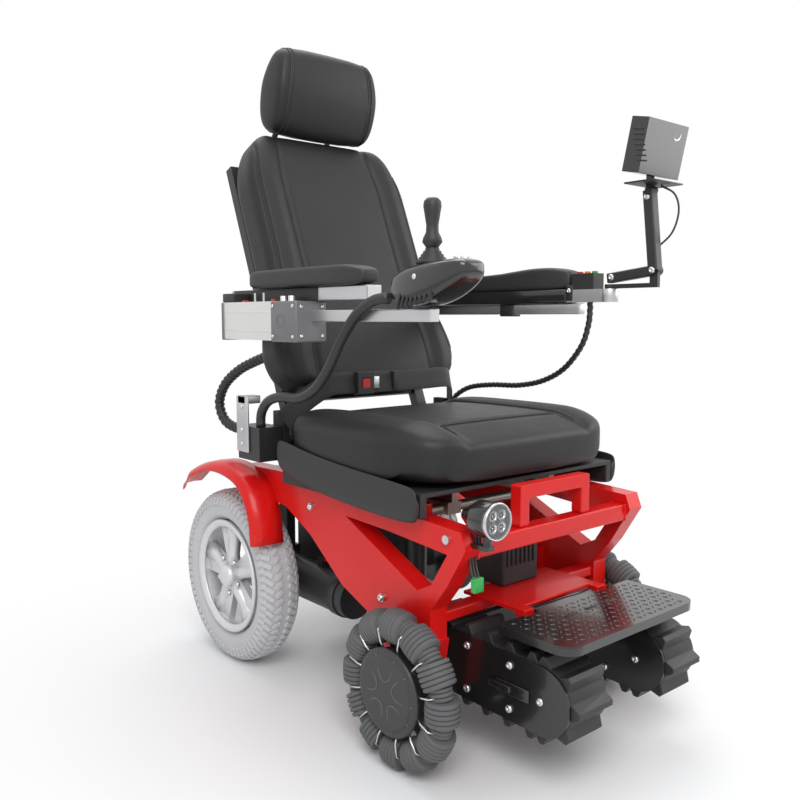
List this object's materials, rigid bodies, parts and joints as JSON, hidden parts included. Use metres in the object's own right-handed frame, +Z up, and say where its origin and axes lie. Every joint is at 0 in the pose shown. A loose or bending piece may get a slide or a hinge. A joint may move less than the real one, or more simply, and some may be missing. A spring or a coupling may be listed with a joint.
{
  "type": "all terrain wheelchair",
  "caption": "Powered all terrain wheelchair with a red frame, climbing tracks, roller front wheels, a leather seat, joystick arm and monitor arm.",
  "frame": {"origin": "on the ground, midway across the wheels and midway between the back of the rear tyres and the front of the tracks", "axes": "+X to the rider's left, -Y forward, +Z up"},
  "size_m": [0.582, 1.0051, 1.273],
  "materials": {
    "red_paint": "gloss",
    "black_paint": "gloss",
    "black_plastic": "textured",
    "gloss_black": "gloss",
    "tyre_grey": "matt",
    "rim_silver": "satin",
    "hub_grey": "satin",
    "roller_grey": "matt",
    "track_rubber": "matt",
    "steel": "satin",
    "rail_metal": "satin",
    "arm_metal": "satin",
    "box_metal": "satin",
    "leather": "grained",
    "pad_skin": "moulded",
    "webbing": "woven",
    "red_plastic": "gloss",
    "orange_plastic": "gloss",
    "green_plastic": "gloss",
    "stick_rubber": "matt",
    "lens": "clear",
    "screen": "gloss",
    "cable": "matt"
  },
  "bodies": {
    "chassis": {"side_frames": "red_paint", "cross_tubes": "red_paint", "portal_frame": "red_paint", "deck_plate": "red_paint", "fenders": "red_paint", "drive_motors": "black_paint", "battery_box": "black_plastic", "control_box": "black_plastic", "headlamp_housing": "gloss_black", "headlamp_lens": "lens", "chassis_bolts": "steel", "actuator_body": "black_paint"},
    "actuator_rod": {"actuator_rod": "steel"},
    "brake_lever_right": {"brake_lever_right": "red_plastic"},
    "brake_lever_left": {"brake_lever_left": "red_plastic"},
    "rear_wheel_right": {"rear_tyre_right": "tyre_grey", "rear_rim_right": "rim_silver"},
    "rear_wheel_left": {"rear_tyre_left": "tyre_grey", "rear_rim_left": "rim_silver"},
    "omni_wheel_right": {"omni_hub_right": "hub_grey", "omni_rollers_right": "roller_grey"},
    "omni_wheel_left": {"omni_hub_left": "hub_grey", "omni_rollers_left": "roller_grey"},
    "tracks": {"track_belts": "track_rubber", "track_plates": "gloss_black", "track_wheels": "black_paint"},
    "footplate": {"footplate": "gloss_black"},
    "seat_tilt": {"tilt_frame": "rail_metal"},
    "seat": {"seat_pan": "black_plastic", "seat_cushion": "leather", "seat_belt": "webbing", "belt_buckle": "black_plastic"},
    "buckle_button": {"buckle_button": "red_plastic"},
    "back": {"back_frame": "black_paint", "back_cushion": "leather", "cable_loom": "cable", "cable_joystick": "cable", "cable_left": "cable"},
    "headrest": {"headrest_pad": "leather", "headrest_posts": "black_paint"},
    "arm_right": {"arm_right_frame": "arm_metal", "arm_right_pad": "pad_skin", "switch_box": "box_metal", "joystick_pod": "gloss_black"},
    "joystick_gimbal": {"joystick_gimbal": "black_plastic"},
    "joystick_stick": {"joystick_stick": "stick_rubber"},
    "toggle_rear": {"toggle_rear": "steel"},
    "toggle_front": {"toggle_front": "steel"},
    "rocker_switch": {"rocker_switch": "red_plastic"},
    "push_button": {"push_button": "red_plastic"},
    "arm_left": {"arm_left_frame": "arm_metal", "arm_left_pad": "pad_skin", "button_pod": "black_plastic"},
    "pod_button_red": {"pod_button_red": "red_plastic"},
    "pod_button_orange": {"pod_button_orange": "orange_plastic"},
    "pod_button_green": {"pod_button_green": "green_plastic"},
    "monitor_arm_lower": {"monitor_arm_lower": "black_paint"},
    "monitor_arm_upper": {"monitor_arm_upper": "black_paint"},
    "monitor": {"monitor_case": "gloss_black", "monitor_screen": "screen"}
  },
  "joints": [
    {"name": "rear_wheel_right_spin", "type": "hinge", "parent": "chassis", "child": "rear_wheel_right", "pos_m": [-0.225, 0.3245, 0.178], "axis": [1, 0, 0], "continuous": true},
    {"name": "omni_wheel_right_spin", "type": "hinge", "parent": "chassis", "child": "omni_wheel_right", "pos_m": [-0.262, -0.2305, 0.128], "axis": [1, 0, 0], "continuous": true},
    {"name": "brake_release_right", "type": "hinge", "parent": "chassis", "child": "brake_lever_right", "pos_m": [-0.14, 0.1445, 0.228], "axis": [-1, 0, 0], "range_deg": [0, 35]},
    {"name": "rear_wheel_left_spin", "type": "hinge", "parent": "chassis", "child": "rear_wheel_left", "pos_m": [0.225, 0.3245, 0.178], "axis": [1, 0, 0], "continuous": true},
    {"name": "omni_wheel_left_spin", "type": "hinge", "parent": "chassis", "child": "omni_wheel_left", "pos_m": [0.262, -0.2305, 0.128], "axis": [1, 0, 0], "continuous": true},
    {"name": "brake_release_left", "type": "hinge", "parent": "chassis", "child": "brake_lever_left", "pos_m": [0.14, 0.1445, 0.228], "axis": [-1, 0, 0], "range_deg": [0, 35]},
    {"name": "track_lift", "type": "hinge", "parent": "chassis", "child": "tracks", "pos_m": [0, -0.12061, 0.15825], "axis": [1, 0, 0], "range_deg": [0, 12]},
    {"name": "footplate_fold", "type": "hinge", "parent": "chassis", "child": "footplate", "pos_m": [0, -0.3425, 0.238], "axis": [-1, 0, 0], "range_deg": [0, 90]},
    {"name": "seat_tilt", "type": "hinge", "parent": "chassis", "child": "seat_tilt", "pos_m": [0, -0.1955, 0.392], "axis": [1, 0, 0], "range_deg": [0, 15]},
    {"name": "actuator_extend", "type": "slide", "parent": "chassis", "child": "actuator_rod", "axis": [0, 0, 1], "range_m": [0, 0.06]},
    {"name": "seat_slide", "type": "slide", "parent": "seat_tilt", "child": "seat", "axis": [0, 1, 0], "range_m": [0, 0.06]},
    {"name": "back_recline", "type": "hinge", "parent": "seat", "child": "back", "pos_m": [0, 0.1795, 0.47], "axis": [-1, 0, 0], "range_deg": [0, 25]},
    {"name": "headrest_height", "type": "slide", "parent": "back", "child": "headrest", "axis": [0, 0.3746, 0.9272], "range_m": [0, 0.05]},
    {"name": "buckle_press", "type": "slide", "parent": "seat", "child": "buckle_button", "axis": [0, 1, 0], "range_m": [0, 0.003], "stiffness_N_per_m": 400},
    {"name": "arm_right_flip", "type": "hinge", "parent": "back", "child": "arm_right", "pos_m": [-0.228, 0.29009, 0.71437], "axis": [-1, 0, 0], "range_deg": [0, 85], "deforming": ["cable_joystick"]},
    {"name": "arm_left_flip", "type": "hinge", "parent": "back", "child": "arm_left", "pos_m": [0.228, 0.29009, 0.71437], "axis": [-1, 0, 0], "range_deg": [0, 85], "deforming": ["cable_left"]},
    {"name": "joystick_forward", "type": "hinge", "parent": "arm_right", "child": "joystick_gimbal", "pos_m": [-0.24, -0.28116, 0.78036], "axis": [1, 0, 0], "range_deg": [-18, 18], "stiffness_Nm_per_rad": 0.3},
    {"name": "joystick_sideways", "type": "hinge", "parent": "joystick_gimbal", "child": "joystick_stick", "pos_m": [-0.24, -0.28116, 0.78036], "axis": [0, 1, 0], "range_deg": [-18, 18], "stiffness_Nm_per_rad": 0.3},
    {"name": "toggle_rear_tilt", "type": "hinge", "parent": "arm_right", "child": "toggle_rear", "pos_m": [-0.273, 0.16541, 0.73337], "axis": [1, 0, 0], "range_deg": [-12, 12]},
    {"name": "toggle_front_tilt", "type": "hinge", "parent": "arm_right", "child": "toggle_front", "pos_m": [-0.273, 0.13493, 0.73337], "axis": [1, 0, 0], "range_deg": [-12, 12]},
    {"name": "rocker_tilt", "type": "hinge", "parent": "arm_right", "child": "rocker_switch", "pos_m": [-0.273, 0.20097, 0.73586], "axis": [1, 0, 0], "range_deg": [-8, 8]},
    {"name": "push_button_press", "type": "slide", "parent": "arm_right", "child": "push_button", "axis": [0, 0, -1], "range_m": [0, 0.003], "stiffness_N_per_m": 300},
    {"name": "pod_red_press", "type": "slide", "parent": "arm_left", "child": "pod_button_red", "axis": [0, 0, -1], "range_m": [0, 0.003], "stiffness_N_per_m": 300},
    {"name": "pod_orange_press", "type": "slide", "parent": "arm_left", "child": "pod_button_orange", "axis": [0, 0, -1], "range_m": [0, 0.003], "stiffness_N_per_m": 300},
    {"name": "pod_green_press", "type": "slide", "parent": "arm_left", "child": "pod_button_green", "axis": [0, 0, -1], "range_m": [0, 0.003], "stiffness_N_per_m": 300},
    {"name": "monitor_arm_swivel", "type": "hinge", "parent": "arm_left", "child": "monitor_arm_lower", "pos_m": [0.228, -0.25791, 0.76236], "axis": [0, 0, 1], "range_deg": [-40, 25]},
    {"name": "monitor_arm_elbow", "type": "hinge", "parent": "monitor_arm_lower", "child": "monitor_arm_upper", "pos_m": [0.228, -0.35291, 0.79236], "axis": [-1, 0, 0], "range_deg": [-25, 25]},
    {"name": "monitor_tilt", "type": "hinge", "parent": "monitor_arm_upper", "child": "monitor", "pos_m": [0.228, -0.33791, 0.93236], "axis": [1, 0, 0], "range_deg": [-20, 20]}
  ],
  "couplings": [
    {"joint": "actuator_extend", "follows": "seat_tilt", "m_per_rad": 0.2}
  ]
}
